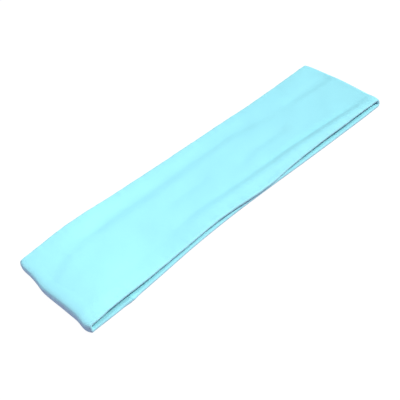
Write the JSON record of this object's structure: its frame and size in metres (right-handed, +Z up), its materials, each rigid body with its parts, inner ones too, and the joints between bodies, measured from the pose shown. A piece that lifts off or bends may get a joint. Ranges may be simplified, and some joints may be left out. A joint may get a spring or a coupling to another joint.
{
  "type": "sports headband",
  "caption": "Stretch sports headband lying flat: a wide two-ply knitted band sewn into a closed loop, with rolled long edges and a cross seam near one fold.",
  "frame": {"origin": "on the surface that the band lies on, under the middle of the flattened loop", "axes": "+X along the band from the near fold, where the cross seam is, to the far fold; +Y across the band; +Z up"},
  "size_m": [0.24, 0.062, 0.006],
  "materials": {
    "shell_knit": "smooth matt stretch jersey with a faint sheen",
    "lining_knit": "matt wicking jersey",
    "sewing_thread": "fine textured polyester thread"
  },
  "bodies": {
    "root": {"outer_shell": "shell_knit", "inner_lining": "lining_knit", "front_edge_seam": "sewing_thread", "rear_edge_seam": "sewing_thread", "shell_join_seam": "sewing_thread", "lining_join_seam": "sewing_thread", "closing_seam": "sewing_thread"}
  },
  "joints": []
}
